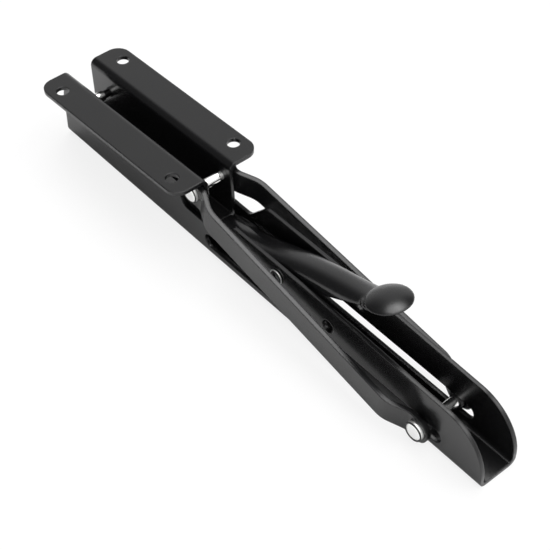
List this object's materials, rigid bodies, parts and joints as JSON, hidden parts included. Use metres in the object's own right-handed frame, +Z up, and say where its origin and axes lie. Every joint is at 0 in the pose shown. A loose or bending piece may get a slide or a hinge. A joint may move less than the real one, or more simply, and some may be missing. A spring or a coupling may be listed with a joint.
{
  "type": "folding shelf bracket",
  "caption": "Folding shelf bracket: a wall plate hinged in a shelf channel, braced by two struts on a sliding pin, with a sprung release lever.",
  "frame": {"origin": "middle of the shelf channel's length, on its underside, midway between its walls", "axes": "+X along the channel from its hinge end to its nose, +Z up from the underside towards the wall plate, +Y to the left strut"},
  "size_m": [0.3004, 0.0516, 0.0561],
  "materials": {
    "black_coat": "satin black powder coat",
    "bright_pin": "bright nickel plate",
    "black_nylon": "plain",
    "zinc": "plain zinc plate",
    "spring_steel": "oiled wire"
  },
  "bodies": {
    "channel": {"shelf_channel": "black_coat", "hinge_rivet": "black_coat", "lever_rivet": "black_coat", "lever_spacer_left": "black_coat", "lever_spacer_right": "black_coat", "lever_spring": "spring_steel"},
    "plate": {"wall_plate": "black_coat", "hinge_spacer": "bright_pin", "strut_rivet": "bright_pin", "strut_spacer": "bright_pin", "strut_washer_left": "zinc", "strut_washer_right": "zinc"},
    "struts": {"strut_left": "black_coat", "strut_right": "black_coat", "slider_rivet_left": "bright_pin", "slider_rivet_right": "bright_pin"},
    "slider": {"slider_pin": "bright_pin", "slider_sleeve": "bright_pin", "slider_roller_left": "black_nylon", "slider_roller_right": "black_nylon", "slider_washer_left": "black_coat", "slider_washer_right": "black_coat"},
    "lever": {"release_lever": "black_coat"}
  },
  "joints": [
    {"name": "plate_fold", "type": "hinge", "parent": "channel", "child": "plate", "pos_m": [-0.13735, 0, 0.0248], "axis": [0, -1, 0], "range_deg": [0, 87.5]},
    {"name": "strut_swing", "type": "hinge", "parent": "plate", "child": "struts", "pos_m": [-0.04288, 0, 0.03443], "axis": [0, -1, 0], "range_deg": [-122.01, 0]},
    {"name": "slider_slide", "type": "slide", "parent": "channel", "child": "slider", "axis": [1, 0, 0], "range_m": [-0.1416, 0]},
    {"name": "lever_pivot", "type": "hinge", "parent": "channel", "child": "lever", "pos_m": [0.01855, 0, 0.0254], "axis": [0, 1, 0], "range_deg": [-3, 7], "stiffness_Nm_per_rad": 0.5}
  ],
  "couplings": [
    {"joint": "strut_swing", "follows": "plate_fold", "ratio": -1.3944},
    {"joint": "slider_slide", "follows": "plate_fold", "m_per_rad": -0.092718}
  ]
}
